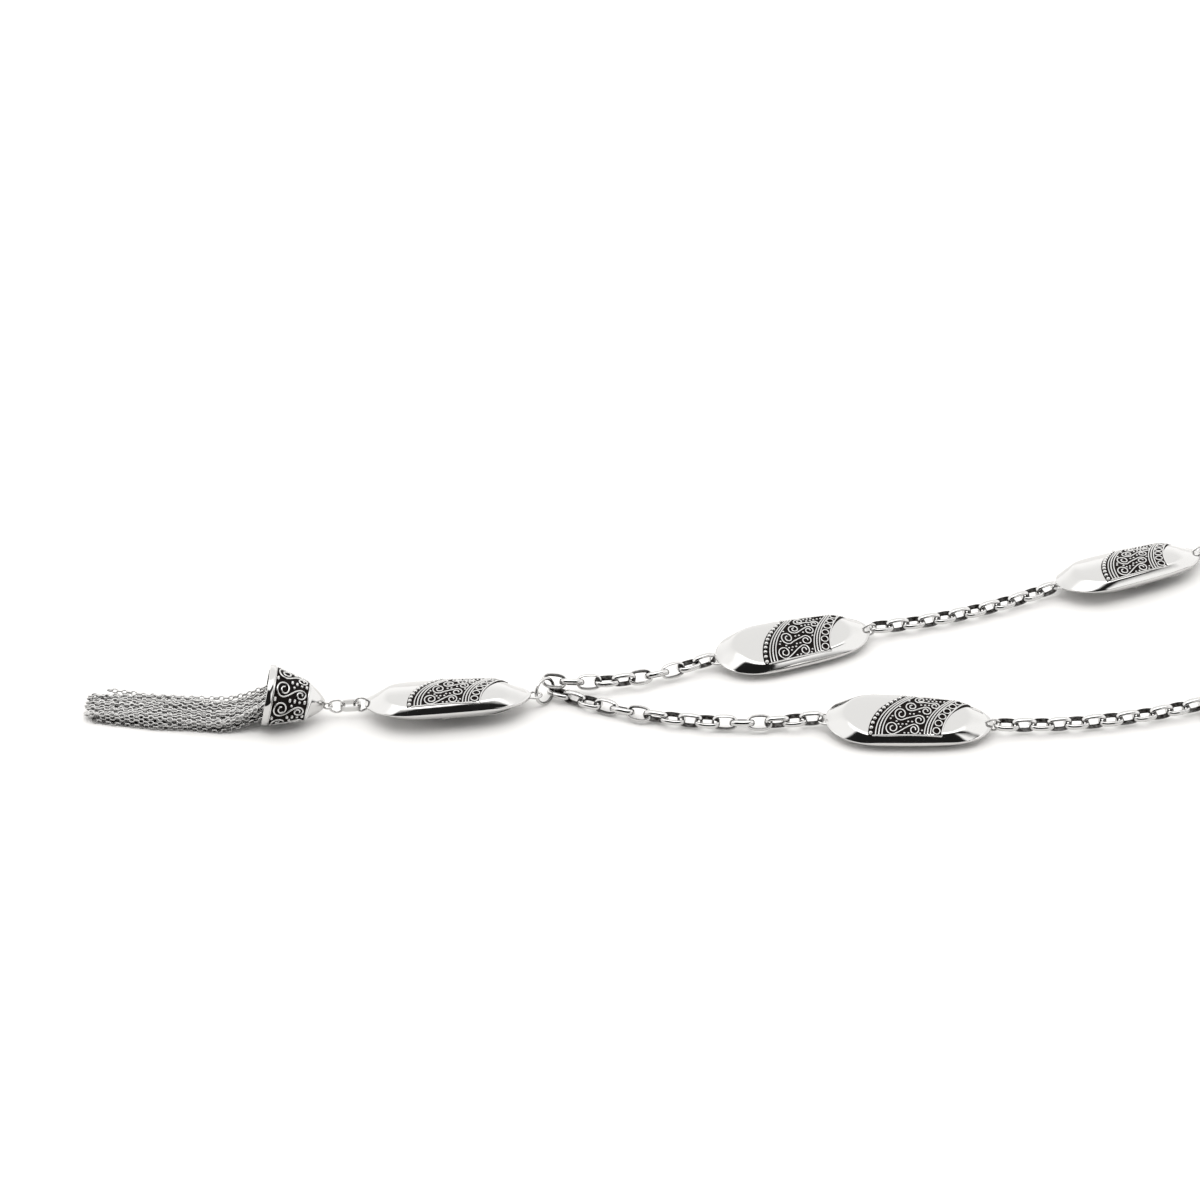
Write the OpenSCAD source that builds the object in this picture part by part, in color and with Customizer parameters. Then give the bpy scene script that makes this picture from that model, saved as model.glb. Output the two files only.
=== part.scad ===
// Long silver necklace: a closed loop of belcher chain with flat scroll-work
// beads, a ring that gathers both strands, a pendant bead and a capped tassel.
// It lies on a flat surface, z = 0. Millimetres.

/* [Chain] */
// Length of a chain link over its ends
link_l = 4.85; // [4.7:0.05:5]
// Width of a chain link
link_w = 3.1; // [3:0.1:3.4]
// Height of the flat band that a link is bent from
band_w = 1.1; // [1:0.1:1.2]
// Thickness of that band
band_t = 0.35; // [0.3:0.05:0.4]
// Height of the chain's middle line where it lies on the surface
chain_z = 1.73; // [1.65:0.02:1.9]

/* [Beads] */
// Length of a bead's body from tip to tip
bead_l = 31; // [29:0.5:33]
// Length of the pendant bead's body
pendant_l = 32.2; // [31:0.1:33]
// Width of a bead
bead_w = 13.2; // [12:0.2:15]
// Thickness of a bead
bead_t = 5; // [4.6:0.1:5.6]
// Height of the scroll work above the bead's skin
relief = 0.25; // [0.15:0.05:0.4]
// Wire of the eye at each tip
eye_wire = 0.5; // [0.4:0.05:0.6]

/* [Rings] */
// Outer diameter of the main ring
ring_d = 5.45; // [5.2:0.05:5.8]
// Wire of the main ring
ring_wire = 0.85; // [0.7:0.05:0.9]
// Outer diameter of the small ring at the cap
cap_ring_d = 3.3; // [3.1:0.05:3.5]
// Wire of that small ring
cap_ring_wire = 0.45; // [0.4:0.05:0.5]

/* [Tassel] */
// Diameter of the cap's mouth
cap_d = 11.6; // [11:0.2:12.4]
// Length of the tassel's chains outside the cap
tassel_l = 35; // [30:0.5:36]
// Locks that the tassel's outer form is made of
locks = 13; // [9:1:16]

/* [Hidden] */

silver = "silver";
dark_silver = "gray";

// Where the middle of the whole necklace lies in the layout below
middle = [119.32, 26.51];

// A bead's eye: its ring sits half in the tip and leaves an open hole
eye_r = 1.1 + eye_wire / 2;
eye_x = bead_l / 2 + 0.1;
eye_hole_x = (bead_l / 2 + eye_x + eye_r - eye_wire / 2) / 2;
// Bead centre to the centre of the chain link in its eye
link_reach = bead_l / 2 + 0.2 + link_l / 2;

// Main ring: middle point, turn about the upright axis and lean
ring_r = (ring_d - ring_wire) / 2;
ring_at = [-10.38, -31.32, 2.7];
ring_turn = 50;
ring_lean = 15.5;
// Where the two strands hold the ring, and from there to the centres of their first links
near_angle = -32;
far_angle = 24;
near_gap = 1.3;
far_gap = 0.6;

// Strands, one row for each chain length and the bead after it:
// links, pitch, heading at the first and last link, bead heading,
// turn of the first link, and twists as [link where one begins, degrees in all]
LINKS = 0; PITCH = 1; HEAD_A = 2; HEAD_B = 3; BEAD_H = 4; TURN = 5; TWISTS = 6;
near_strand = [
    [16, 3.25, -27, 7, -3, -17, [[0, 17], [2, -90], [9, -90]]],
    [12, 3.3, 2, 16, 15, 0, []],
    [12, 3.25, 14, 7, 6, 0, []],
    [12, 3.25, 8, 18, 20, 0, []],
    [12, 3.25, 26, 52, 58, 0, []]
];
far_strand = [
    [10, 3.3, 3, 26, 17, 27, [[0, 63], [3.5, 90]]],
    [12, 3.22, 13, 26, 20, 0, []],
    [12, 3.25, 22, 34, 36, 0, []],
    [12, 3.25, 35, 29, 28, 0, []],
    [12, 3.25, 23, 0, -5, 0, []]
];
back_links = 13;
back_pitch = 3.25;

// Pendant side: heading and roll of the pendant bead, and the tail link's sizes
pendant_h = 4.7;
pendant_roll = -9;
tail_l = 4;
tail_w = 2.4;
tail_band = 1;
tail_t = 0.35;

function lerp(a, b, t) = a + (b - a) * t;
function dir(h) = [cos(h), sin(h)];
function flat(p) = [p.x, p.y];

// Unit vectors in the main ring's plane, and a point on its wire
ring_e1 = [cos(ring_turn), sin(ring_turn), 0];
ring_e2 = [-sin(ring_lean) * sin(ring_turn), sin(ring_lean) * cos(ring_turn), cos(ring_lean)];
function ring_point(a) = ring_at + ring_r * (cos(a) * ring_e1 + sin(a) * ring_e2);

// Heading of the step after link j in a row, and the place of link i
function step_head(row, j) = lerp(row[HEAD_A], row[HEAD_B], j / (row[LINKS] - 2));
function link_at(row, start, i) =
    i == 0 ? start : link_at(row, start, i - 1) + row[PITCH] * dir(step_head(row, i - 1));
// Heading of link i itself; the last one turns halfway toward the bead it holds
function link_head(row, i) = i < row[LINKS] - 1 ? step_head(row, i - 0.5)
    : (step_head(row, i - 1) + row[BEAD_H]) / 2;
function row_end(row, start) = link_at(row, start, row[LINKS] - 1);
// First link of row k of a strand, and the bead after row k
function row_start(strand, k, start) =
    k == 0 ? start : bead_at(strand, k - 1, start) + link_reach * dir(strand[k - 1][BEAD_H]);
function bead_at(strand, k, start) =
    row_end(strand[k], row_start(strand, k, start)) + link_reach * dir(strand[k][BEAD_H]);

function strand_start(strand, angle, gap) = ring_point(angle) + gap * concat(dir(strand[0][HEAD_A]), 0);
near_start = strand_start(near_strand, near_angle, near_gap);
far_start = strand_start(far_strand, far_angle, far_gap);

// The length at the back of the neck is an even arc between the two last beads
back_a = bead_at(near_strand, 4, flat(near_start)) + link_reach * dir(near_strand[4][BEAD_H]);
back_b = bead_at(far_strand, 4, flat(far_start)) + link_reach * dir(far_strand[4][BEAD_H]);
back_steps = back_links - 1;
function span(bend) = back_pitch * sin(back_steps * bend / 2) / sin(bend / 2);
function solve_bend(lo, hi, goal, n) =
    n == 0 ? (lo + hi) / 2
    : span((lo + hi) / 2) > goal ? solve_bend((lo + hi) / 2, hi, goal, n - 1)
    : solve_bend(lo, (lo + hi) / 2, goal, n - 1);
back_bend = solve_bend(0.01, 20, norm(back_b - back_a), 30);
back_chord_h = atan2(back_b.y - back_a.y, back_b.x - back_a.x);
back_row = [back_links, back_pitch, back_chord_h - back_bend * (back_steps - 1) / 2,
    back_chord_h + back_bend * (back_steps - 1) / 2, far_strand[4][BEAD_H] + 180, 0, []];

// Height of link i of a row whose ends are held at z_a and z_b
sag = 0.78;
function link_z(row, i, z_a, z_b) = chain_z + (z_a - chain_z) * pow(sag, i)
    + (z_b - chain_z) * pow(sag, row[LINKS] - 1 - i);
// Turn of link i about the chain: flat and upright by turns, a little uneven, and
// where the chain twists each link turns by twist_step more than the one before
sway = 1.5;
twist_step = 18;
function twisted(list, i, k = 0) = k == len(list) ? 0
    : sign(list[k][1]) * min(abs(list[k][1]), twist_step * max(0, i - list[k][0]))
        + twisted(list, i, k + 1);
function link_roll(row, i) = 90 * i + row[TURN] + twisted(row[TWISTS], i) + sway * sin(131 * i);

// Oval link of flat band, long side on X, its hole along Z
module oval(l, w) {
    for (side = [-1, 1]) translate([side * (l - w) / 2, 0]) circle(d = w, $fn = 48);
    square([l - w, w], center = true);
}
module band_link(l, w, b, t) {
    linear_extrude(b, center = true) difference() {
        oval(l, w);
        oval(l - 2 * t, w - 2 * t);
    }
}

// One length of chain between two beads
module chain(row, start, z_a, z_b) {
    color(silver)
    for (i = [0 : row[LINKS] - 1]) {
        climb = atan2(link_z(row, i + 0.5, z_a, z_b) - link_z(row, i - 0.5, z_a, z_b), row[PITCH]);
        translate(concat(link_at(row, start, i), link_z(row, i, z_a, z_b)))
            rotate([0, -climb, link_head(row, i)])
            rotate([link_roll(row, i), 0, 0])
            band_link(link_l, link_w, band_w, band_t);
    }
}

// Half width of a bead's outline at u, 0 at the blunt tip and 1 at the slim tip
blunt = 0.3;
function outline_at(u) = u < blunt
    ? pow(1 - pow((blunt - u) / blunt, 2.2), 0.53)
    : (1 - 0.28 * pow((u - blunt) / (1 - blunt), 1.5)) * pow(1 - pow((u - blunt) / (1 - blunt), 7), 0.7);
function outline_u(i, n) = (1 - cos(180 * i / n)) / 2;
function outline(l, w, n) = concat(
    [[-l / 2, 0]],
    [for (i = [1 : n - 1]) [(outline_u(i, n) - 0.5) * l, -outline_at(outline_u(i, n)) * w / 2]],
    [[l / 2, 0]],
    [for (i = [n - 1 : -1 : 1]) [(outline_u(i, n) - 0.5) * l, outline_at(outline_u(i, n)) * w / 2]]);

// Half of a bead's form: height from its seam, drawn in at the tips and at the sides, corners
RIM_Z = 0; RIM_X = 1; RIM_Y = 2; RIM_N = 3;
bead_side = [[0.15, 0, 0, 8], [1.45, 1.2, 0.65, 8], [2.15, 4.6, 2.6, 4], [bead_t / 2, 9.5, 4.9, 3]];

// The whole form, its crown raised by h
module bead_form(h) {
    hull() for (r = bead_side, side = [-1, 1])
        translate([0, 0, side * (r[RIM_Z] + (r[RIM_N] < 8 ? h : 0) - 0.01)])
            linear_extrude(0.01, center = true)
            polygon(outline(bead_l - 2 * r[RIM_X], bead_w - 2 * r[RIM_Y], r[RIM_N]));
}

// Scroll-work panel, drawn flat: x along the bead, near edge at negative y
panel_left = -7.6;
panel_right = 6.2;
panel_side = 5.4;
panel_taper = 2.7;
arc_left_r = 12.5;
arc_right_r = 13.4;
wire = 0.35;
band = 1.5;

// Bowed band of wires that starts across the bead at x on the near edge
module bowed(x, r) {
    translate([x + r, -panel_side]) difference() {
        circle(r + band / 2, $fn = 20);
        circle(r - band / 2, $fn = 20);
    }
}

// Straight wire from a to b
module bar(a, b) {
    hull() {
        translate(a) circle(d = wire, $fn = 3);
        translate(b) circle(d = wire, $fn = 3);
    }
}

module curl(d) {
    difference() {
        circle(d = d, $fn = 6);
        circle(d = d - 2.4 * wire, $fn = 6);
    }
}

// Scroll: a curl whose tail runs toward the slim tip
curl_d = 2.5;
module scroll() {
    curl(curl_d);
    bar([0.7, wire - curl_d / 2], [3.9, -1.2]);
}

studs = 4;
scroll_rows = 4;
scroll_first = [-2.95, -3.7];
scroll_step = [1.5, 2.45];
// Place k of the row of studs beside the slim side's band
function stud_at(k) =
    let (a = 180 - (k + 0.65) * 9)
    [panel_right - 1.05 + arc_right_r * (1 + cos(a)), -panel_side + arc_right_r * sin(a)];

// Bands, edge wires, scrolls and studs, all drawn flat
module panel() {
    intersection() {
        union() {
            bowed(panel_left + 1.9, arc_left_r);
            bowed(panel_right - 2.6, arc_right_r);
            for (side = [-1, 1]) rotate(-side * panel_taper)
                bar([panel_left, side * panel_side], [panel_right + 2, side * panel_side]);
            for (k = [0 : studs - 1]) translate(stud_at(k)) circle(d = 1.3, $fn = 5);
            for (k = [0 : scroll_rows - 1]) translate(scroll_first + k * scroll_step) scroll();
        }
        translate([panel_left, -panel_side - 0.3]) square([18, 2 * panel_side + 0.6]);
    }
}

module relief_face() {
    intersection() {
        bead_form(relief);
        linear_extrude(bead_t) panel();
    }
}

// Eye at a tip: flat when roll is 0, upright when roll is 90
module eye(side, roll) {
    translate([side * eye_x, 0, 0]) rotate([roll, 0, 0])
        rotate_extrude($fn = 10) translate([eye_r, 0]) circle(eye_wire / 2, $fn = 4);
}

module bead(blunt_roll, slim_roll) {
    color(silver) union() {
        bead_form(0);
        relief_face();
        eye(-1, blunt_roll);
        eye(1, slim_roll);
    }
}

module place_bead(at, h) {
    translate(concat(at, bead_t / 2)) rotate([0, 0, h]) bead(0, 90);
}

// Main ring
module main_ring() {
    color(silver) translate(ring_at) rotate([90 - ring_lean, 0, ring_turn])
        rotate_extrude($fn = 64) translate([ring_r, 0]) circle(ring_wire / 2, $fn = 24);
}

// Pendant bead: its slim tip hangs in the ring, the blunt tip carries the tail link
pendant_z = 2.74;
pendant_stretch = pendant_l / bead_l;
pendant_at = flat(ring_point(180)) - eye_hole_x * pendant_stretch * dir(pendant_h);
module on_pendant() {
    translate(concat(pendant_at, pendant_z)) rotate([0, 0, pendant_h]) children();
}
module pendant_bead() {
    on_pendant() rotate([pendant_roll, 0, 0]) scale([pendant_stretch, 1, 1]) bead(90, 0);
}

// Tail link, cap ring and cap follow each other to the left of the pendant bead
tail_x = -(pendant_l / 2 + 0.15 + tail_l / 2);
// Heights above the pendant bead's middle: tail link and cap ring, loop, cap's tip
tail_up = 0.3;
loop_up = 0.5;
cap_up = 0.85;
cap_ring_r = (cap_ring_d - cap_ring_wire) / 2;
cap_ring_x = tail_x - tail_l / 2 + tail_t + 0.25 + cap_ring_wire / 2 - cap_ring_r;
loop_wire = 0.45;
loop_r = 0.8;
loop_x = cap_ring_x - cap_ring_r + cap_ring_wire / 2 + 0.15 + loop_wire / 2 - loop_r;
cap_tip_x = loop_x - 0.35;

module tail_link() {
    color(silver) on_pendant() translate([tail_x, 0, tail_up]) band_link(tail_l, tail_w, tail_band, tail_t);
}

module cap_ring() {
    color(silver) on_pendant() translate([cap_ring_x, 0, tail_up]) rotate([90, 0, 0])
        rotate_extrude($fn = 48) translate([cap_ring_r, 0]) circle(cap_ring_wire / 2, $fn = 24);
}

// Cap, drawn along its axis: the domed tip at 0, the mouth at cap_l
dome_l = 3.5;
cone_l = 6.7;
rim_l = 1.2;
cap_l = dome_l + cone_l + rim_l;
neck_r = 3.45;
cone_r = cap_d / 2 - 0.4;
cap_wall = 0.7;
cap_fall = 12;

cap_outer = [
    [0, 0], [0.7, 0], [1.2, 0.5], [2.1, 1.6], [2.9, 2.6], [neck_r, dome_l],
    [cone_r, dome_l + cone_l], [cap_d / 2, dome_l + cone_l + 0.1], [cap_d / 2, cap_l], [0, cap_l]
];
cap_inner = [
    [0, 2.2], [1.6, 3], [neck_r - cap_wall, dome_l + 0.4], [cone_r - cap_wall, cap_l + 1], [0, cap_l + 1]
];
cap_sides = 16;

// Curls on the cone stand on its skin and are cut to an even height
cap_scrolls = 8;
module cone_skin(h) {
    translate([0, 0, dome_l + 0.05])
        cylinder(cone_l, neck_r + h, cone_r + h, $fn = cap_sides);
}
module radial(a, z) {
    rotate([0, 0, a]) translate([0, 0, z]) rotate([0, 90, 0]) linear_extrude(cap_d) children();
}
module cap_relief() {
    intersection() {
        cone_skin(relief);
        for (k = [0 : cap_scrolls - 1]) {
            a = 360 * k / cap_scrolls;
            radial(a, dome_l + cone_l - 1.75) curl(2.9);
            radial(a + 12, dome_l + 1.35) circle(d = 1.5, $fn = 5);
            radial(a + 12, dome_l + 3.35) bar([-1.1, 0.6], [1.1, -0.6]);
        }
    }
}

module cap_solid() {
    difference() {
        union() {
            rotate_extrude($fn = cap_sides) polygon(cap_outer);
            cap_relief();
        }
        rotate_extrude($fn = cap_sides) polygon(cap_inner);
    }
}

// Turns cap coordinates into place: the axis falls toward the tip
cap_tip = concat(pendant_at + cap_tip_x * dir(pendant_h), pendant_z + cap_up);
module on_cap() {
    translate(cap_tip) rotate([0, -90 + cap_fall, 0]) children();
}

module tassel_cap() {
    color(silver) {
        on_cap() cap_solid();
        on_pendant() translate([loop_x, 0, loop_up])
            rotate_extrude($fn = 14) translate([loop_r, 0]) circle(loop_wire / 2, $fn = 6);
    }
}

// Tassel: locks of fine chain that leave a head inside the cap and lie on the surface
lock_sides = 6;
lock_steps = 7;
head_in = 4.6;
head_l = 1.6;
head_r = 2.7;
mouth = cap_tip + cap_l * [-cos(cap_fall), 0, sin(cap_fall)];
// A lock falls to the surface within fall_l and spreads within spread_l of the mouth
fall_l = 9;
spread_l = 12;
spread_mouth = 2.1;
spread_end = 3.2;
squeeze = 0.8;
// The bundle first drifts near, then swings far toward its loose end
drift = 1.4;
swing = 3.6;
swing_from = 0.2;
// Locks lie in two layers
mouth_low = 1.6;
mouth_step = 1.8;
layer_step = 1.3;
end_vary = 1.6;
function noise(k) = (sin(k * 127.1) * 43758.5) % 1;
function share(s, l) = min(1, max(0, s / l));
function lock_y(k) = (k / (locks - 1) - 0.5) * 2;
function lock_layer(k) = k % 2;
function lock_r(t) = 1.05 + 0.25 * t;
function lock_end(k) = tassel_l - 1.2 - end_vary * abs(noise(k + 3));
// Middle of lock k at share t of its length
function lock_at(k, t) =
    let (s = t * (lock_end(k) + head_in) - head_in,
        fall = share(s, fall_l),
        drop = fall * fall * (3 - 2 * fall),
        out = max(0, s / tassel_l),
        from_y = lock_y(k) * lerp(spread_mouth, spread_end, share(s, spread_l)) * (s < 0 ? squeeze : 1),
        z_rest = lock_r(t) + 0.02 + lock_layer(k) * layer_step * (1 - 0.5 * out))
    [mouth.x - s, mouth.y - drift * drop + swing * max(0, out - swing_from) + from_y,
        lerp(mouth.z - mouth_low + mouth_step * lock_layer(k), z_rest, drop)];

module lock(k) {
    steps = [for (i = [0 : lock_steps]) i / lock_steps];
    points = [for (t = steps) for (j = [0 : lock_sides - 1])
        let (a = 360 * j / lock_sides, r = lock_r(t) * (t < 1 ? 1 : 0.75))
        lock_at(k, t) + [0, r * cos(a), r * sin(a)]];
    sides = [for (i = [0 : lock_steps - 1], j = [0 : lock_sides - 1])
        let (a = i * lock_sides, b = a + lock_sides, n = (j + 1) % lock_sides)
        [a + j, a + n, b + n, b + j]];
    caps = [[for (j = [lock_sides - 1 : -1 : 0]) j],
        [for (j = [0 : lock_sides - 1]) lock_steps * lock_sides + j]];
    polyhedron(points, concat(sides, caps));
}

module tassel() {
    color(dark_silver) {
        for (k = [0 : locks - 1]) lock(k);
        translate(mouth + [head_in - 0.3, 0, -1]) rotate([0, -90 + cap_fall, 0])
            cylinder(head_l, head_r, head_r + 0.4, $fn = 12);
    }
}

module shifted() {
    translate([-middle.x, -middle.y, 0]) children();
}

// A loop bead holds its links a little below its middle
hold_z = bead_t / 2 - 0.1;
module strand_chain(strand, start, k) {
    chain(strand[k], row_start(strand, k, flat(start)), k == 0 ? start.z : hold_z, hold_z);
}
module strand_bead(strand, start, k) {
    place_bead(bead_at(strand, k, flat(start)), strand[k][BEAD_H]);
}

shifted() tassel();
shifted() tassel_cap();
shifted() cap_ring();
shifted() tail_link();
shifted() pendant_bead();
shifted() main_ring();
shifted() chain(back_row, back_a, hold_z, hold_z);  // chain_back
shifted() strand_chain(near_strand, near_start, 0);  // chain_near_1
shifted() strand_chain(near_strand, near_start, 1);  // chain_near_2
shifted() strand_chain(near_strand, near_start, 2);  // chain_near_3
shifted() strand_chain(near_strand, near_start, 3);  // chain_near_4
shifted() strand_chain(near_strand, near_start, 4);  // chain_near_5
shifted() strand_chain(far_strand, far_start, 0);  // chain_far_1
shifted() strand_chain(far_strand, far_start, 1);  // chain_far_2
shifted() strand_chain(far_strand, far_start, 2);  // chain_far_3
shifted() strand_chain(far_strand, far_start, 3);  // chain_far_4
shifted() strand_chain(far_strand, far_start, 4);  // chain_far_5
shifted() strand_bead(near_strand, near_start, 0);  // bead_near_1
shifted() strand_bead(near_strand, near_start, 1);  // bead_near_2
shifted() strand_bead(near_strand, near_start, 2);  // bead_near_3
shifted() strand_bead(near_strand, near_start, 3);  // bead_near_4
shifted() strand_bead(near_strand, near_start, 4);  // bead_near_5
shifted() strand_bead(far_strand, far_start, 0);  // bead_far_1
shifted() strand_bead(far_strand, far_start, 1);  // bead_far_2
shifted() strand_bead(far_strand, far_start, 2);  // bead_far_3
shifted() strand_bead(far_strand, far_start, 3);  // bead_far_4
shifted() strand_bead(far_strand, far_start, 4);  // bead_far_5
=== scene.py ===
"""Silver necklace on a pale surface.

Polished beads with blackened scroll work, belcher chain, and a tassel of fine
chains in a cap. Lengths are in millimetres until a mesh is made.
"""

import math

import bpy
import numpy as np
from mathutils import Matrix, Vector


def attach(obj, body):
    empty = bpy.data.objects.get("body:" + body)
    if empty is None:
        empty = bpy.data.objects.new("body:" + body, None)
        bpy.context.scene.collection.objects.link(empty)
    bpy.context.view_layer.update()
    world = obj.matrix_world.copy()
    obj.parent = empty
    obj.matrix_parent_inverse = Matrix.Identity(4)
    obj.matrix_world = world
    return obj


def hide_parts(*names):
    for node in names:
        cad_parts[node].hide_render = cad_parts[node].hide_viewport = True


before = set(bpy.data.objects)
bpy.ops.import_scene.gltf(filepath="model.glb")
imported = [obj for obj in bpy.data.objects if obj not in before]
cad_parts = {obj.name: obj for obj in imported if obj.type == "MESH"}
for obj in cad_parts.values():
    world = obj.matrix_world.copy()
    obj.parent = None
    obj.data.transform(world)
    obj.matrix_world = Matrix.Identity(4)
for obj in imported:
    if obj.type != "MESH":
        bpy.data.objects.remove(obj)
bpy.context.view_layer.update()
MM = 0.001

# Bead body: x toward the slim tip, the near side at negative y, the seam at z = 0
BEAD_L = 31.3
BEAD_W = 12.8
# The blunt end's share of the length, the powers that round the ends, and how the rest narrows
BLUNT = 0.3
BLUNT_POWERS = (2.2, 0.53)
SLIM_POWERS = (8, 0.7)
SLIM_FALL = 0.25
SLIM_FALL_POWER = 1.6
# The seam's height and its growth toward the slim tip
SEAM_Z = 0.14
SEAM_GROW = 1.5
# The crown's height, and its fall to the sides, along the bead and past END_X
CROWN_Z = 2.45
CROWN_FALL = 0.028
CROWN_SAG = 0.0012
END_SHIFT = 1.2
END_X = 9.3
END_FALL = 0.035
# The bevel's slope, and how softly it turns into the crown, softest at the ends
BEVEL_RISE = 1.75
BEVEL_POWER = 0.82
EDGE_SOFT = 0.07
END_SOFT = 0.5
SOFT_REACH = 4
# How the outline draws in toward the ridge
TIP_INSET = 12.8
TIP_POWER = 0.8
# The lower half's height as a share of the upper half's
UNDER = 0.74
# Points along each side, rows from seam to ridge, closer near the seam, and the last share
BODY_COLUMNS = 56
BODY_ROWS = 27
ROW_POWER = 2.1
LAST_SHARE = 0.015
# Step that gives the skin's slope, and halvings in the search for its height
SKIN_STEP = 0.02
HALVINGS = 24

# Eyes at a bead's tips, longer and narrower on the bead's side
EYE_X = 15.6
PENDANT_EYE_X = 16.2
EYE_R = 1.35
EYE_WIRE = 0.5
EYE_TAIL = 0.4
EYE_PINCH = 0.3

# Lean in degrees, positive toward the near side, and rise of a bead over its solid's place
LEANS = {
    "pendant_bead": (-14, 0.45),
    "bead_near_1": (4, -0.17),
    "bead_far_1": (4, -0.17),
    "bead_far_2": (-12, 0.22),
}
NO_LEAN = (0, -0.25)
# Part of a bead's half length whose width tells the slim tip from the blunt one
TAPER_FROM = 8
TAPER_TO = 14

# Scroll-work panel of a bead
PANEL_LEFT = -7.9
PANEL_RIGHT = 5.8
PANEL_SIDE = 5.55
PANEL_FAR = 4.9
NEAR_TAPER = 0.035
FAR_TAPER = 0.1
FAR_TAPER_X = -1
LEFT_BEND = 0.061
RIGHT_BEND = 0.058
GROUND_LIFT = 0.02
GROUND_LEFT = 0.1
GROUND_RIGHT = 0.05
# Bowed wires, ropes and rows, measured in from the panel's left or right end
LEFT_WIRES = (1.5, 2.7)
LEFT_ROPE = 2.1
BALL_ROW = 0.6
RIGHT_WIRES = (0, 2.1, 3.2)
RIGHT_ROPE = 2.65
RING_ROW = 1.05
BORDER_FROM = 0.9
FAR_BORDER = 0.6
BORDER_LIFT = 0.1
BORDER_STEP = 0.16
FIELD_MARGIN = 0.45
# Room to the right of the panel's start for the lean of its lines
LEAN_ROOM = 5
# Points of a bowed line that carry the balls and the small rings
BALL_SPAN = slice(3, -2)
RING_SPAN = slice(6, -6)

# Wires of round section, bright on top and dark at the foot
WIRE = 0.3
WIRE_LIFT = 0.12
WIRE_SIDES = 6
WIRE_STEP = 0.14
SIDE_SHINE = 0.62
TOP_SHINE = 0.75
# Twisted wire, whose strands sink to ROPE_CORE of its radius between each other
ROPE = 0.36
ROPE_LIFT = 0.02
ROPE_SIDES = 7
ROPE_STEP = 0.105
ROPE_TURN = 0.62
ROPE_CORE = 0.7
ROPE_POWER = 0.8
# How bright a rope is at its sides, and how much more on top and on its strands
ROPE_SHINE = (0.35, 0.5, 0.35)
# How bright a ball is at its middle, and how much more on top
BALL_SHINE = (0.55, 0.9)
BALL_RINGS = 4
BALL_SIDES = 8
# Balls of the ball row, granules and small rings: diameters, distances and lifts
GRAIN = 0.85
GRAIN_PITCH = 1.12
GRAIN_LIFT = 0.14
GRANULE = 0.5
GRANULE_PITCH = 0.72
GRANULE_REACH = 0.5
GRANULE_LIFT = 0.08
GRANULE_ROWS = 0.87
RINGLET_R = 0.66
RINGLET_WIRE = 0.28
RINGLET_PITCH = 1.78

# Rows of scrolls: big curl x, y, width and height, small curl x, y, width and height
SCROLLS = (
    (-3.4, -3.85, 2.75, 3.1, 0.75, -4.15, 2.2, 2.6),
    (-1.75, -0.55, 2.65, 3.5, 1.75, -2.0, 2.4, 2.6),
    (0.28, 1.5, 2.5, 2.8, 3.1, 0.35, 2.2, 2.5),
    (1.95, 3.55, 2.3, 2.1, 4.75, 1.85, 2.1, 2.1),
)
# A curl's inmost share, the angle it winds in from, its turns and its drift along x
BIG_CURL = (0.26, -58, 1.6, 0.25)
SMALL_CURL = (0.3, 120, 1.4, -0.08)
CURL_POINTS = 26
CURL_POWER = 1.2
SCROLL_STEP = 0.15

# Chain links, of a band that is flat inside and domed outside
LINK_L = 4.85
LINK_W = 3.1
LINK_POWER = 2.6
LINK_STEP = 0.36
BAND_W = 1.1
BAND_T = 0.35
BAND_DOME = 1.25
BAND_BACK = 0.6
BAND_FLAT = 0.46
# The band's inner side is painted darker than its outer side, partly patina, partly painted shade.
INNER_SHINE = 0.21
OUTER_SHINE = 0.9
SHINE_POWER = 0.55

# Main ring
RING_WIRE = 0.64
RING_R = 2.4
# Its inner side painted darker: partly patina, partly painted shade.
RING_SHINE = 0.72
RING_SHINE_SWING = 0.4

# Tail end of the necklace: everything left of the pendant bead
PENDANT_L = 32.2
LINK_GAP = 0.15
TAIL_L = 4.0
TAIL_PLAY = 0.25
CAP_RING_D = 3.3
CAP_RING_WIRE = 0.45
LOOP_R = 0.8
LOOP_WIRE = 0.45
LOOP_UP = 0.5

# Cap: from its tip a dome, a cone with scroll work, and a flat rim
CAP_UP = 0.85
CAP_BACK = 0.35
CAP_FALL = math.radians(12)
DOME_L = 3.5
DOME_POWER = 0.6
CONE_L = 6.7
RIM_L = 1.2
CAP_L = DOME_L + CONE_L + RIM_L
NECK_R = 3.45
CONE_R = 5.4
RIM_R = 5.8
# The rim's rounded edges, the wall's thickness, and the radius that closes the tip
RIM_SOFT = 0.08
RIM_EDGE = 0.12
WALL = 0.6
POINT_R = 0.01
CAP_SIDES = 72
# Radii and heights inside the cap, from the rim down to the middle
CAP_INSIDE = [(CONE_R - 0.7, CAP_L - 0.2), (NECK_R - 0.6, DOME_L + 0.6), (1.4, 3.0)]
CAP_INSIDE_Z = 2.4
# Rows of the profile: the one that spans the cone, and the last ones, inside the cap
CONE_ROW = 10
INSIDE_ROWS = 5
# Scrolls round the cone: big curl, its size, small curl, its size
CAP_SCROLLS = 8
CAP_STEP = math.pi * (NECK_R + CONE_R) / CAP_SCROLLS
CAP_TURN = 14.5
CAP_SCROLL = ((1.75, 0), (3.1, 3.1), (5.15, -0.55), (2.4, 2.4))
CAP_WIRE = 0.36
CAP_GRANULE = 0.62
CAP_GRANULE_PITCH = 0.92
CAP_GRANULE_REACH = 0.6
CAP_MARGIN = 0.5
CAP_EDGES = (0.05, CONE_L - 0.1)
CAP_EDGE_LIFT = 0.03

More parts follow.
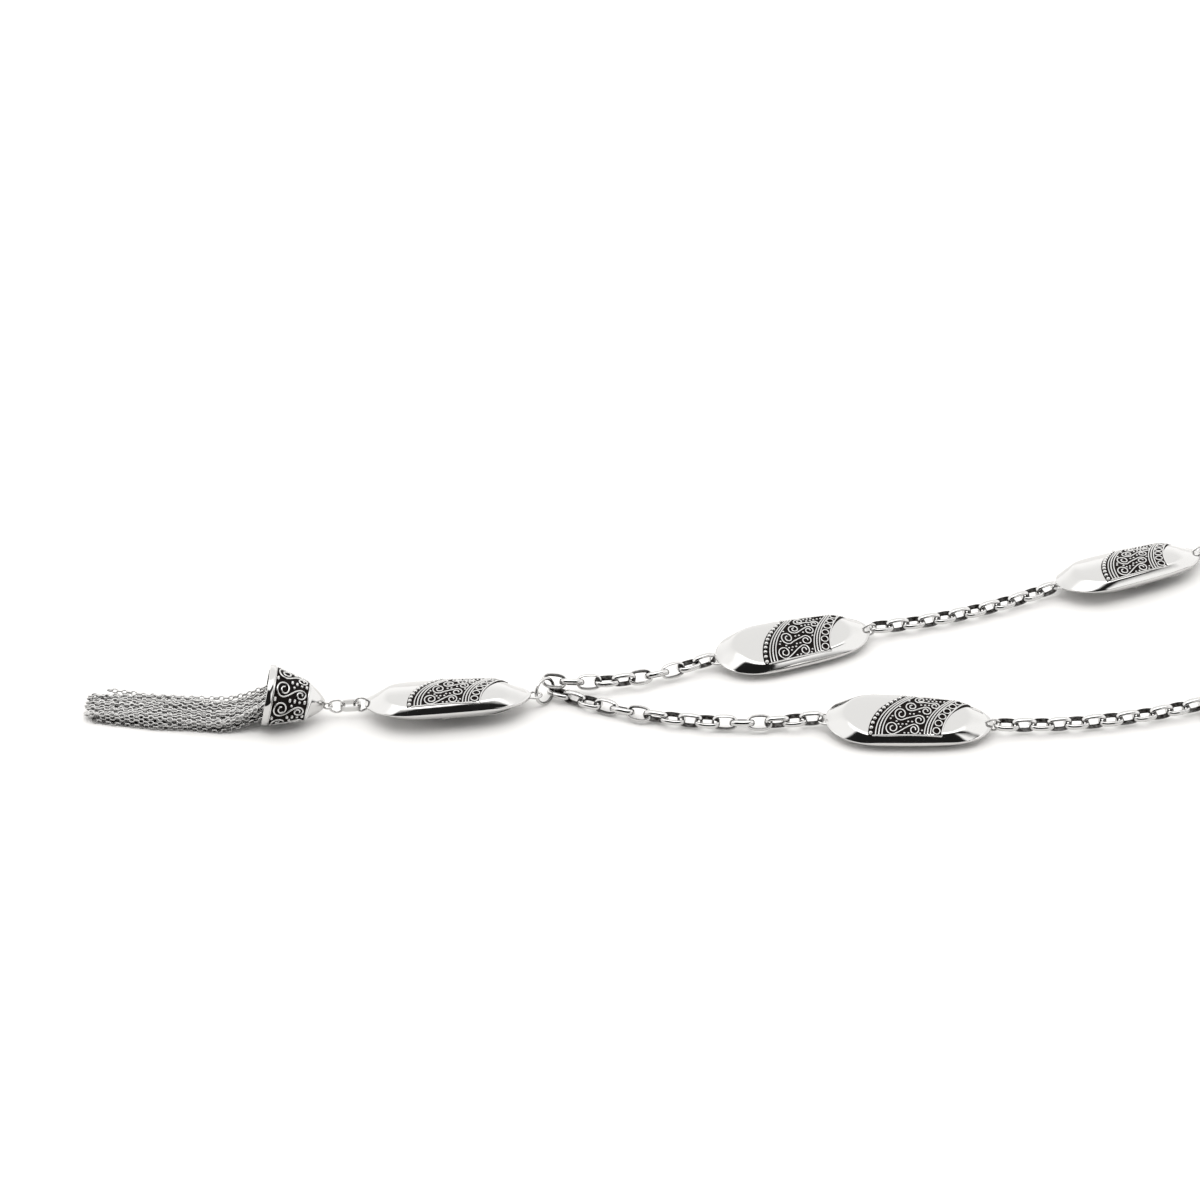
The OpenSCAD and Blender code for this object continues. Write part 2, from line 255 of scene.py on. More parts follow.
# Tassel: strands in layers, which start inside the cap, fall to the surface and drift
TASSEL_L = 35.0
STRANDS = 30
LAYERS = 3
HIDDEN_L = 3.5
END_CUT = 0.9
END_VARY = 4.5
FALL_FROM = -1
FALL_L = 11
FALL_POWER = 1.3
SPREAD = 3.0
SPREAD_MORE = 0.7
SPREAD_L = 8
SQUEEZE = 0.9
DRIFT_NEAR = 0.7
SWING_FAR = 4.4
SWING_FROM = 0.2
# Heights of the lowest layer and steps to the next, in the mouth and on the surface
MOUTH_LOW = -3.1
MOUTH_STEP = 1.15
MOUTH_CURVE = 0.5
REST_LOW = 0.5
REST_STEP = 0.85
REST_THIN = 0.4
# Waves of a strand: slow and fast ones sideways, and one up, each a length and a swing
WAVE_TURN = 6.28
SLOW_WAVE = 4.1
SLOW_SWING = 0.12
SLOW_SWING_MORE = 0.16
FAST_WAVE = 1.6
FAST_SWING = 0.06
RISE_WAVE = 2.9
RISE_SWING = 0.12
MOUTH_VARY = 0.2
# Its fine links, the turn of the first one, and how bright each layer is painted
FINE_PITCH = 0.93
FINE_L = 1.34
FINE_W = 1.02
FINE_WIRE = 0.32
FINE_TURN = math.radians(38)
FINE_SWAY = 0.25
FINE_SWAY_STEP = 1.7
FLOOR_GAP = 0.02
# Painted shade: the lower layers are darker, and each link is darker on its inner side.
LAYER_SHINE = (0.36, 0.6, 0.85)
LAYER_SWING = 0.3

# Colours, linear
SILVER = (0.55, 0.546, 0.54, 1)
# Dark end of the wire finish: patina at the wires' feet, painted shade on inner sides of links and
# ring and in the tassel
TARNISH_AND_PAINTED_SHADE = (0.012, 0.01, 0.009, 1)
BLACK_DEEP = (0.0025, 0.0021, 0.0019, 1)
BLACK_WORN = (0.014, 0.011, 0.0095, 1)
PALE = (0.88, 0.872, 0.862, 1)
LIGHT_COLOUR = (1.0, 0.995, 0.985, 1)

# Levels of the tent of light
SIDE_LIGHT = 1.62
TOP_LIGHT = 3.6
PATCH_LIGHT = 1.4
DARK_LIGHT = 0.02
# Directions: the patch's height, and the turns of the right window and the left opening
PATCH_UP = math.radians(50)
WINDOW_TURN = math.radians(31)
LEFT_TURN = math.radians(52)
# Where each part of it fades in or out, in a direction's Z or Y or its cosine to a part
TOP_FADE = (0.78, 0.95)
PATCH_FADE = (0.74, 0.88)
FRONT_FADE = (-0.04, -0.22)
ROOF_FADE = (0.82, 0.92)
WINDOW_FADE = (0, 0.08)
WINDOW_TOP_FADE = (0.55, 0.7)
LEFT_FADE = (-0.06, 0.04)
SILL_FADE = (0.06, 0.28)

# Camera, the point it looks at, and the floor, in metres
CAMERA_TILT = math.radians(38)
CAMERA_DISTANCE = 0.6
CAMERA_LENS = 91.26
CAMERA_SENSOR = 36
AIM = Vector((-0.11932, -0.02651, 0))
FLOOR_R = 6

UP = np.array([0, 0, 1.0])
POLISHED, BLACKENED, WIRED = 0, 1, 2


# Meshes


class Shape:
    """Gathers points, faces, a finish for each face and a shine for each point, in millimetres."""

    def __init__(self):
        self.points = []
        self.shine = []
        self.faces = []
        self.finish = []
        self.count = 0

    def add(self, points, faces, finish=POLISHED, shine=1.0):
        """Adds points and faces, with one finish or one for each face."""
        points = np.asarray(points, float).reshape(-1, 3)
        self.points.append(points)
        self.shine.append(np.broadcast_to(np.asarray(shine, float).ravel(), (len(points),)))
        self.faces.extend([[i + self.count for i in face] for face in faces])
        self.finish.extend(np.broadcast_to(finish, len(faces)).tolist())
        self.count += len(points)

    def join(self, other, scale):
        """Adds another shape, scaled."""
        self.points.extend(points * scale for points in other.points)
        self.shine.extend(other.shine)
        self.faces.extend([[i + self.count for i in face] for face in other.faces])
        self.finish.extend(other.finish)
        self.count += other.count

    def mesh(self, name, materials):
        made = bpy.data.meshes.new(name)
        made.from_pydata((np.vstack(self.points) * MM).tolist(), [], self.faces)
        for material in materials:
            made.materials.append(material)
        made.polygons.foreach_set("material_index", self.finish)
        made.polygons.foreach_set("use_smooth", [True] * len(self.faces))
        layer = made.attributes.new("shine", "FLOAT", "POINT")
        layer.data.foreach_set("value", np.concatenate(self.shine))
        made.update()
        return made


def unit(v):
    return v / np.linalg.norm(v, axis=-1, keepdims=True)


def grid_faces(rows, columns, rows_close=False, columns_close=True):
    """Quads of a grid of points in rows, wound so that a tube made by sweep() faces out."""
    i, j = np.meshgrid(
        np.arange(rows if rows_close else rows - 1),
        np.arange(columns if columns_close else columns - 1),
        indexing="ij",
    )
    i2, j2 = (i + 1) % rows, (j + 1) % columns
    corners = (i * columns + j, i2 * columns + j, i2 * columns + j2, i * columns + j2)
    return np.stack([c.ravel() for c in corners], axis=1).tolist()


def sweep(path, ups, section, closed=False):
    """Points and faces of a section, (side, up) pairs, carried along a path."""
    path = np.asarray(path, float)
    if closed:
        tangent = unit(np.roll(path, -1, 0) - np.roll(path, 1, 0))
    else:
        tangent = unit(np.gradient(path, axis=0))
    side = unit(np.cross(tangent, ups))
    up = np.cross(side, tangent)
    section = np.asarray(section, float)
    if section.ndim == 2:
        section = section[None]
    points = path[:, None] + section[..., 0:1] * side[:, None] + section[..., 1:2] * up[:, None]
    rows, columns = points.shape[:2]
    faces = grid_faces(rows, columns, rows_close=closed)
    if not closed:
        faces.append(list(range(columns)))
        faces.append(list(range(rows * columns - 1, (rows - 1) * columns - 1, -1)))
    return points.reshape(-1, 3), faces


def circle_angles(count):
    return np.arange(count) * 2 * math.pi / count


def round_section(diameter, sides):
    a = circle_angles(sides)
    return np.stack([np.cos(a), np.sin(a)], axis=1) * diameter / 2


def band_section(thick, high):
    """Section of a band: flat inside, domed outside."""
    a = np.linspace(-math.pi / 2, math.pi / 2, 9)
    s = thick * (BAND_DOME * np.cos(a) - BAND_BACK)
    u = high / 2 * np.sin(a)
    flat = [(-thick / 2, high * share) for share in (BAND_FLAT, 0, -BAND_FLAT)]
    return np.vstack([np.stack([s, u], axis=1), flat])


def even_path(points, step):
    """The same path with points at an even distance."""
    points = np.asarray(points, float)
    lengths = np.linalg.norm(np.diff(points, axis=0), axis=1)
    along = np.concatenate([[0], np.cumsum(lengths)])
    wanted = np.linspace(0, along[-1], max(3, int(round(along[-1] / step)) + 1))
    return np.stack([np.interp(wanted, along, column) for column in points.T], axis=1)


def ball(radius):
    """Points and faces of a small ball."""
    lat = np.linspace(-math.pi / 2, math.pi / 2, BALL_RINGS + 1)[1:-1]
    lon = circle_angles(BALL_SIDES)
    body = np.stack(
        [
            np.cos(lat)[:, None] * np.cos(lon)[None],
            np.cos(lat)[:, None] * np.sin(lon)[None],
            np.repeat(np.sin(lat)[:, None], BALL_SIDES, 1),
        ],
        axis=-1,
    ).reshape(-1, 3)
    points = np.vstack([body, -UP, UP]) * radius
    rows = BALL_RINGS - 1
    faces = [quad[::-1] for quad in grid_faces(rows, BALL_SIDES)]
    low, high = rows * BALL_SIDES, rows * BALL_SIDES + 1
    last = low - BALL_SIDES
    for j in range(BALL_SIDES):
        k = (j + 1) % BALL_SIDES
        faces.append([low, k, j])
        faces.append([high, last + j, last + k])
    return points, faces


def ring_path(radius, count):
    a = circle_angles(count)
    return np.stack([np.cos(a) * radius, np.sin(a) * radius, np.zeros(count)], axis=1)


# Bead body


def outline_at(u):
    """Share of the half width at u, which goes from 0 at the blunt tip to 1 at the slim tip."""
    u = np.clip(u, 0, 1)
    blunt = np.clip((BLUNT - u) / BLUNT, 0, 1)
    slim = np.clip((u - BLUNT) / (1 - BLUNT), 0, 1)
    inner, outer = BLUNT_POWERS
    blunt_half = (1 - blunt**inner) ** outer
    inner, outer = SLIM_POWERS
    slim_half = (1 - SLIM_FALL * slim**SLIM_FALL_POWER) * (1 - slim**inner) ** outer
    return np.where(u < BLUNT, blunt_half, slim_half)


def rise(share, x, y):
    """Height of the skin at x, y where the outline has drawn in to this share."""
    inset = (1 - share) * BEAD_W / 2
    bevel = SEAM_Z + BEVEL_RISE * inset**BEVEL_POWER
    beyond = np.clip(np.abs(x + END_SHIFT) - END_X, 0, None)
    crown = CROWN_Z - CROWN_FALL * y**2 - CROWN_SAG * x**2 - END_FALL * beyond**2
    soft = EDGE_SOFT + END_SOFT * np.clip(beyond / SOFT_REACH, 0, 1)
    skin = np.maximum(SEAM_Z, -soft * np.logaddexp(-bevel / soft, -crown / soft))
    seam = SEAM_Z * (1 + SEAM_GROW * np.clip(x / BEAD_L + 0.5, 0, 1) ** 2)
    return seam + (skin - SEAM_Z) * (CROWN_Z - seam) / (CROWN_Z - SEAM_Z)


def drawn_length(share):
    return BEAD_L - 2 * TIP_INSET * (1 - share) ** TIP_POWER


def skin_z(x, y):
    """Height of a bead's skin above its seam's plane at points x, y."""
    low, high = np.zeros_like(x), np.ones_like(x)
    for _ in range(HALVINGS):
        share = (low + high) / 2
        long = drawn_length(share)
        reach = share * BEAD_W / 2 * outline_at(x / long + 0.5)
        inside = (np.abs(y) <= reach) & (np.abs(x) <= long / 2)
        high = np.where(inside, share, high)
        low = np.where(inside, low, share)
    return rise((low + high) / 2, x, y)


def on_skin(flat, lift):
    """Points of a flat path set on the skin, lifted along it, and the skin's normals there."""
    x, y = flat[:, 0], flat[:, 1]
    d = SKIN_STEP
    z = skin_z(x, y)
    normal = unit(
        np.stack(
            [
                skin_z(x - d, y) - skin_z(x + d, y),
                skin_z(x, y - d) - skin_z(x, y + d),
                np.full_like(x, 2 * d),
            ],
            axis=1,
        )
    )
    return np.stack([x, y, z], axis=1) + normal * lift, normal


def bead_body(shape):
    """Two halves that meet in a seam, each drawn in toward a short ridge."""
    columns = BODY_COLUMNS
    u = (1 - np.cos(np.linspace(0, math.pi, columns + 1))) / 2
    inner = 1 - np.linspace(0, 1, BODY_ROWS) ** ROW_POWER
    shares = np.concatenate([[1.0], inner[inner > LAST_SHARE][1:]])
    for height in (1, -UNDER):
        rows = []
        for share in shares:
            half = share * BEAD_W / 2 * outline_at(u)
            x = (u - 0.5) * drawn_length(share)
            ring_x = np.concatenate([x, x[-2:0:-1]])
            ring_y = np.concatenate([-half, half[-2:0:-1]])
            z = rise(share, ring_x, ring_y) * height
            rows.append(np.stack([ring_x, ring_y, z], axis=1))
        count = len(rows[0])
        seam = rows[0].copy()
        seam[:, 2] = 0
        rows.insert(0, seam)
        ridge_x = (u - 0.5) * drawn_length(0)
        ridge_z = rise(0.0, ridge_x, 0) * height
        ridge = np.stack([ridge_x, ridge_x * 0, ridge_z], axis=1)
        points = np.vstack(rows + [ridge])
        faces = grid_faces(len(rows), count)
        last = (len(rows) - 1) * count
        top = len(rows) * count
        for i in range(columns):
            faces.append([last + i, top + i, top + i + 1, last + i + 1])
            far, far_next = (count - i) % count, (count - i - 1) % count
            faces.append([last + far, last + far_next, top + i + 1, top + i])
        if height > 0:
            faces = [face[::-1] for face in faces]
        shape.add(points, faces)


def bead_eyes(shape, blunt_up, slim_up, eye_x):
    """Rings half sunk in the tips, flat or upright."""
    section = round_section(EYE_WIRE, 10)
    for side, upright in ((-1, blunt_up), (1, slim_up)):
        path = ring_path(EYE_R, 36)
        inward = np.clip(-path[:, 0] * side / EYE_R, 0, 1)
        path[:, 0] *= 1 + EYE_TAIL * inward
        path[:, 1] *= 1 - EYE_PINCH * inward
        axis = UP
        if upright:
            path = path[:, [0, 2, 1]]
            axis = np.array([0, 1.0, 0])
        points, faces = sweep(path + [side * eye_x, 0, 0], axis, section, closed=True)
        shape.add(points, faces, WIRED)


# Scroll work


def edge_y(x, side):
    """Where the panel's near edge, side -1, or its far edge, side 1, lies at x."""
    near = -PANEL_SIDE + NEAR_TAPER * (x - PANEL_LEFT)
    return np.where(side < 0, near, PANEL_FAR - FAR_TAPER * (x - FAR_TAPER_X))


def arc_x(x0, bend, y):
    """Bowed line across the bead, from x0 on the near edge, leaning toward the slim tip."""
    return x0 + bend * (y + PANEL_SIDE) ** 2


def bowed(x0, bend):
    """Path of a bowed wire from the near edge to the far edge."""
    y = np.linspace(-PANEL_SIDE, PANEL_SIDE, 160)
    x = arc_x(x0, bend, y)
    kept = (y >= edge_y(x, -1)) & (y <= edge_y(x, 1))
    return even_path(np.stack([x[kept], y[kept]], axis=1), WIRE_STEP)


def wire_shine(count):
    """A wire is bright on top and dark at its foot."""
    a = circle_angles(WIRE_SIDES)
    return np.tile(np.clip(SIDE_SHINE + TOP_SHINE * np.sin(a), 0, 1), count)


def lay_wire(shape, place, flat, diameter=WIRE, closed=False, lift=WIRE_LIFT):
    path, normals = place(flat, lift)
    points, faces = sweep(path, normals, round_section(diameter, WIRE_SIDES), closed)
    shape.add(points, faces, WIRED, wire_shine(len(path)))


def lay_rope(shape, place, flat):
    """Wire of two strands twisted together."""
    flat = even_path(flat, ROPE_STEP)
    path, normals = place(flat, WIRE_LIFT + ROPE_LIFT)
    a = circle_angles(ROPE_SIDES)
    along = np.arange(len(path)) * ROPE_STEP
    twist = along[:, None] / ROPE_TURN * math.pi
    high = np.abs(np.cos(a[None] - twist)) ** ROPE_POWER
    radius = ROPE / 2 * (ROPE_CORE + (1 - ROPE_CORE) * high)
    section = np.stack([np.cos(a)[None] * radius, np.sin(a)[None] * radius], axis=-1)
    points, faces = sweep(path, normals, section)
    least, top, crest = ROPE_SHINE
    shine = np.clip(least + top * np.sin(a)[None] + crest * high, 0, 1)
    shape.add(points, faces, WIRED, shine)


def lay_ball(shape, place, flat, diameter, lift):
    """Balls at flat points, bright on top."""
    spots, normals = place(np.asarray(flat, float).reshape(-1, 2), lift)
    points, faces = ball(diameter / 2)
    least, more = BALL_SHINE
    top = np.clip(least + more * points[:, 2] / (diameter / 2), 0, 1)
    for spot, normal in zip(spots, normals):
        turn = Vector(UP).rotation_difference(Vector(normal)).to_matrix()
        shape.add(points @ np.array(turn).T + spot, faces, WIRED, top)


def spiral(centre, half, core, start, turns, drift):
    """Path that winds in clockwise from the angle start, its middle drifting along x."""
    t = np.linspace(0, 1, int(CURL_POINTS * turns) + 1)
    a = math.radians(start) - t * turns * 2 * math.pi
    share = 1 - (1 - core) * t**CURL_POWER
    x = centre[0] + drift * t + half[0] * share * np.cos(a)
    y = centre[1] + half[1] * share * np.sin(a)
    return np.stack([x, y], axis=1)


def scroll_path(big, big_size, small, small_size, wire=WIRE):
    """S-shaped scroll: out of the big curl at its foot, over the small curl and into it."""
    big_half = (np.array(big_size) - wire) / 2
    small_half = (np.array(small_size) - wire) / 2
    first = spiral(big, big_half, *BIG_CURL)[::-1]
    last = spiral(small, small_half, *SMALL_CURL)
    a, b = first[-1], last[0]
    out = unit(first[-1] - first[-2]) * np.linalg.norm(b - a)
    into = unit(last[1] - last[0]) * np.linalg.norm(b - a)
    t = np.linspace(0, 1, 14)[1:-1, None]
    tail = (
        (2 * t**3 - 3 * t**2 + 1) * a
        + (t**3 - 2 * t**2 + t) * out
        + (3 * t**2 - 2 * t**3) * b
        + (t**3 - t**2) * into
    )
    return even_path(np.vstack([first, tail, last]), SCROLL_STEP)


def fill_granules(box, spacing, taken, reach, inside):
    """Even rows of spots in a box, without those nearer than reach to the taken points."""
    rows = []
    for i, y in enumerate(np.arange(box[1], box[3], spacing * GRANULE_ROWS)):
        x = np.arange(box[0] + spacing / 2 * (i % 2), box[2], spacing)
        rows.append(np.stack([x, np.full_like(x, y)], axis=1))
    spots = np.vstack(rows)
    near = np.linalg.norm(spots[:, None] - taken[None], axis=2).min(axis=1)
    return spots[(near > reach) & inside(spots[:, 0], spots[:, 1])]


def panel_ground(shape):
    """Blackened ground of the panel, from the row of balls to the edge wire."""
    rows, columns = 30, 34
    points = []
    for share in np.linspace(0, 1, rows):
        across = -PANEL_SIDE + share * (PANEL_SIDE + PANEL_FAR)
        left = arc_x(PANEL_LEFT + GROUND_LEFT, LEFT_BEND, across)
        right = arc_x(PANEL_RIGHT + GROUND_RIGHT, RIGHT_BEND, across)
        x = np.linspace(left, right, columns)
        points.append(np.stack([x, edge_y(x, -1) * (1 - share) + edge_y(x, 1) * share], axis=1))
    spots, _ = on_skin(np.vstack(points), GROUND_LIFT)
    faces = [face[::-1] for face in grid_faces(rows, columns, columns_close=False)]
    shape.add(spots, faces, BLACKENED, 0.0)


def in_field(x, y):
    """Whether points lie in the scrolls' field, clear of the wires round it."""
    left = arc_x(PANEL_LEFT + LEFT_WIRES[-1] + FIELD_MARGIN, LEFT_BEND, y)
    right = arc_x(PANEL_RIGHT - RIGHT_WIRES[-1] - FIELD_MARGIN, RIGHT_BEND, y)
    clear = (y > -PANEL_SIDE + FIELD_MARGIN) & (y < edge_y(x, 1) - FIELD_MARGIN)
    return (x > left) & (x < right) & clear


def bead_panel(shape):
    """All of the scroll work on a bead's upper face."""
    panel_ground(shape)
    for inset in LEFT_WIRES:
        lay_wire(shape, on_skin, bowed(PANEL_LEFT + inset, LEFT_BEND))
    for inset in RIGHT_WIRES:
        lay_wire(shape, on_skin, bowed(PANEL_RIGHT - inset, RIGHT_BEND))
    lay_rope(shape, on_skin, bowed(PANEL_LEFT + LEFT_ROPE, LEFT_BEND))
    lay_rope(shape, on_skin, bowed(PANEL_RIGHT - RIGHT_ROPE, RIGHT_BEND))
    for side, across in ((-1, -PANEL_SIDE), (1, PANEL_FAR - FAR_BORDER)):
        first = arc_x(PANEL_LEFT + BORDER_FROM, LEFT_BEND, across)
        x = np.linspace(first, arc_x(PANEL_RIGHT, RIGHT_BEND, across), 120)
        border = even_path(np.stack([x, edge_y(x, side)], axis=1), BORDER_STEP)
        lay_wire(shape, on_skin, border, lift=BORDER_LIFT)
    balls = even_path(bowed(PANEL_LEFT + BALL_ROW, LEFT_BEND)[BALL_SPAN], GRAIN_PITCH)
    lay_ball(shape, on_skin, balls, GRAIN, GRAIN_LIFT)
    row = bowed(PANEL_RIGHT - RING_ROW, RIGHT_BEND)[RING_SPAN]
    for spot in even_path(row, RINGLET_PITCH):
        ringlet = ring_path(RINGLET_R, 20)[:, :2] + spot
        lay_wire(shape, on_skin, ringlet, RINGLET_WIRE, closed=True)
    taken = []
    for bx, by, big_w, big_h, sx, sy, small_w, small_h in SCROLLS:
        path = scroll_path((bx, by), (big_w, big_h), (sx, sy), (small_w, small_h))
        lay_wire(shape, on_skin, path)
        taken.append(path)
    box = (PANEL_LEFT, -PANEL_SIDE, PANEL_RIGHT + LEAN_ROOM, PANEL_SIDE)
    spots = fill_granules(box, GRANULE_PITCH, np.vstack(taken), GRANULE_REACH, in_field)
    lay_ball(shape, on_skin, spots, GRANULE, GRANULE_LIFT)


def bead_shape(blunt_up, slim_up, eye_x=EYE_X):
    """A bead with the same scroll work on its upper and its slightly flatter lower face."""
    shape, panel = Shape(), Shape()
    bead_body(shape)
    bead_eyes(shape, blunt_up, slim_up, eye_x)
    bead_panel(panel)
    shape.join(panel, (1, 1, 1))
    shape.join(panel, (1, -1, -UNDER))
    return shape


# Finding where the solids lie


def node_points(node):
    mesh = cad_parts[node].data
    co = np.zeros(len(mesh.vertices) * 3)
    mesh.vertices.foreach_get("co", co)
    return co.reshape(-1, 3) / MM


def bead_pose(node):
    """Matrix, in millimetres, that carries a level bead to where its solid lies."""
    points = node_points(node)
    middle = points.mean(0)
    spread = points[:, :2] - middle[:2]
    axis = np.linalg.svd(spread - spread.mean(0), full_matrices=False)[2][0]
    along = spread @ axis
    ends = points[along.argmax()], points[along.argmin()]
    centre = (ends[0] + ends[1]) / 2
    axis = unit(ends[0] - ends[1])
    side = np.array([-axis[1], axis[0], 0])
    across = np.abs((points - centre) @ side)
    along = (points - centre) @ axis
    plus = across[(along > TAPER_FROM) & (along < TAPER_TO)].max()
    minus = across[(along < -TAPER_FROM) & (along > -TAPER_TO)].max()
    if plus > minus:
        axis = -axis
    heading = math.atan2(axis[1], axis[0])
    return Matrix.Translation(Vector(centre)) @ Matrix.Rotation(heading, 4, "Z")


def bead_fit(node):
    """Its pose with the bead's own lean and rise."""
    lean, up = LEANS.get(node, NO_LEAN)
    turn = Matrix.Rotation(math.radians(lean), 4, "X")
    return Matrix.Translation((0, 0, up)) @ bead_pose(node) @ turn


def loose_solids(node):
    """Points and triangles of each loose solid of a node."""
    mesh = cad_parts[node].data
    mesh.calc_loop_triangles()
    triangles = np.zeros(len(mesh.loop_triangles) * 3, int)
    mesh.loop_triangles.foreach_get("vertices", triangles)
    points = node_points(node)
    _, same = np.unique(np.round(points, 4), axis=0, return_inverse=True)
    same = same.ravel()
    corners = same[triangles].reshape(-1, 3)
    label = np.arange(same.max() + 1)
    while True:
        low = label[corners].min(axis=1)
        new = label.copy()
        for k in range(3):
            np.minimum.at(new, corners[:, k], low)
        new = new[new]
        if (new == label).all():
            break
        label = new
    welded = np.zeros((same.max() + 1, 3))
    welded[same] = points
    for mark in np.unique(label[corners[:, 0]]):
        yield welded[corners[label[corners[:, 0]] == mark]]


def solid_axes(corners):
    """Centre and principal axes, longest first, of a closed solid given by its triangles."""
    origin = corners.reshape(-1, 3).mean(0)
    a, b, c = (corners[:, k] - origin for k in range(3))
    volume = np.einsum("ij,ij->i", a, np.cross(b, c)) / 6
    total = volume.sum()
    centre = (volume[:, None] * (a + b + c)).sum(0) / 4 / total
    spread = np.zeros((3, 3))
    for p in (a, b, c):
        for q in (a, b, c):
            weight = 2 if p is q else 1
            spread += weight * np.einsum("i,ij,ik->jk", volume, p, q) / 20
    spread = spread / total - np.outer(centre, centre)
    _, axes = np.linalg.eigh(spread)
    return centre + origin, axes[:, ::-1].T


# Chain links


def link_points():
    """Rounded oval link of domed band, long side on x, its hole along z."""
    a = circle_angles(34)
    power = 2 / LINK_POWER
    x = (LINK_L - BAND_T) / 2 * np.sign(np.cos(a)) * np.abs(np.cos(a)) ** power
    y = (LINK_W - BAND_T) / 2 * np.sign(np.sin(a)) * np.abs(np.sin(a)) ** power
    path = np.stack([x, y, 0 * x], axis=1)
    path = even_path(np.vstack([path, path[:1]]), LINK_STEP)[:-1]
    section = band_section(BAND_T, BAND_W)
    points, faces = sweep(path, UP, section, closed=True)
    # Painted darker on the inner side: partly patina, partly painted shade.
    outward = np.clip(0.5 + section[:, 0] / BAND_T, 0, 1)
    shine = INNER_SHINE + OUTER_SHINE * outward**SHINE_POWER
    return points, faces, np.tile(np.clip(shine, 0, 1), len(path))


def chain_shape(node):
    points, faces, shine = link_points()
    shape = Shape()
    for corners in loose_solids(node):
        centre, axes = solid_axes(corners)
        if np.linalg.det(axes) < 0:
            axes[2] = -axes[2]
        shape.add(points @ axes + centre, faces, WIRED, shine)
    return shape


# Cap and tassel


def cap_profile():
    """Radii and heights from the tip over the dome, the cone and the rim, and back inside."""
    dome = [(NECK_R * t**DOME_POWER, DOME_L * t) for t in np.linspace(0.2, 1, 9) ** 2]
    rim_z = DOME_L + CONE_L
    rim = [
        (CONE_R, rim_z),
        (RIM_R - RIM_SOFT, rim_z + 0.02),
        (RIM_R, rim_z + RIM_EDGE),
        (RIM_R, CAP_L - RIM_EDGE),
        (RIM_R - RIM_SOFT, CAP_L),
        (CONE_R - WALL, CAP_L),
    ]
    inner = CAP_INSIDE + [(POINT_R, CAP_INSIDE_Z)]
    return np.array([(POINT_R, 0.0)] + dome + [(NECK_R, DOME_L)] + rim + inner)


def cone_place(angle0):
    """Places flat points on the cone: x from its wide end to the tip, y round it from angle0."""
    lean = math.atan2(CONE_R - NECK_R, CONE_L)

    def place(flat, lift):
        z = DOME_L + CONE_L - flat[:, 0]
        mid_r = (CONE_R + NECK_R) / 2
        radius = NECK_R + (z - DOME_L) * (CONE_R - NECK_R) / CONE_L
        a = angle0 + flat[:, 1] / mid_r
        flare = np.full_like(a, -math.sin(lean))
        normal = np.stack(
            [np.cos(a) * math.cos(lean), np.sin(a) * math.cos(lean), flare], axis=1
        )
        spots = np.stack([np.cos(a) * radius, np.sin(a) * radius, z], axis=1)
        return spots + normal * lift, normal

    return place


def cap_shape():
    """The cap along z, its tip at the origin."""
    shape = Shape()
    profile = cap_profile()
    radius, height = profile[:, :1], profile[:, 1:]
    a = circle_angles(CAP_SIDES)[None]
    points = np.stack(
        [radius * np.cos(a), radius * np.sin(a), np.repeat(height, CAP_SIDES, 1)], axis=-1
    )
    faces = [face[::-1] for face in grid_faces(len(profile), CAP_SIDES)]
    row = np.arange(len(faces)) // CAP_SIDES
    black = (row == CONE_ROW) | (row >= len(profile) - INSIDE_ROWS)
    shape.add(points, faces, np.where(black, BLACKENED, POLISHED))
    path = scroll_path(*CAP_SCROLL, CAP_WIRE)
    step = np.array([0, CAP_STEP])
    box = (CAP_MARGIN, -CAP_STEP / 2, CONE_L, CAP_STEP / 2)
    spots = fill_granules(
        box,
        CAP_GRANULE_PITCH,
        np.vstack([path, path + step, path - step]),
        CAP_GRANULE_REACH,
        lambda x, y: x < CONE_L - CAP_MARGIN,
    )
    for k in range(CAP_SCROLLS):
        place = cone_place(math.radians(CAP_TURN + k * 360 / CAP_SCROLLS))
        lay_wire(shape, place, path, CAP_WIRE)
        lay_ball(shape, place, spots, CAP_GRANULE, GRANULE_LIFT)
    y = np.linspace(0, CAP_SCROLLS * CAP_STEP, 150)[:-1]
    for edge in CAP_EDGES:
        flat = np.stack([np.full_like(y, edge), y], axis=1)
        lay_wire(shape, cone_place(0), flat, closed=True, lift=CAP_EDGE_LIFT)
    return shape


def tassel_path(k, rng):
    """Middle line of fine chain k, from inside the cap to its loose end.

    Returned are the way out from the mouth, the y, the height in the mouth over its middle,
    the height on the surface, and how far the chain has dropped from one to the other.
    """
    across = (k / (STRANDS - 1) - 0.5) * 2
    layer = k % LAYERS
    end = TASSEL_L - END_CUT - END_VARY * rng.random() ** 2
    s = np.arange(-HIDDEN_L, end, 0.1)
    wave = rng.random(4) * WAVE_TURN
    fall = np.clip((s - FALL_FROM) / FALL_L, 0, 1)
    drop = fall**FALL_POWER * (2 - fall**FALL_POWER)
    spread = SPREAD + SPREAD_MORE * np.clip(s / SPREAD_L, 0, 1)
    y = across * spread * np.where(s < 0, SQUEEZE, 1)
    swing = SLOW_SWING + SLOW_SWING_MORE * fall
    y = y + swing * np.sin(s / SLOW_WAVE + wave[0])
    y = y + FAST_SWING * np.sin(s / FAST_WAVE + wave[1])
    y = y - DRIFT_NEAR * drop + SWING_FAR * np.clip(s / TASSEL_L - SWING_FROM, 0, None)
    rest = REST_LOW + layer * REST_STEP * (1 - REST_THIN * np.clip(s, 0, None) / TASSEL_L)
    rest = rest + RISE_SWING * (1 + np.sin(s / RISE_WAVE + wave[2]))
    high = MOUTH_LOW + MOUTH_STEP * layer + MOUTH_VARY * np.sin(wave[3])
    high = high + MOUTH_CURVE * across**2
    return s, y, high, rest, drop


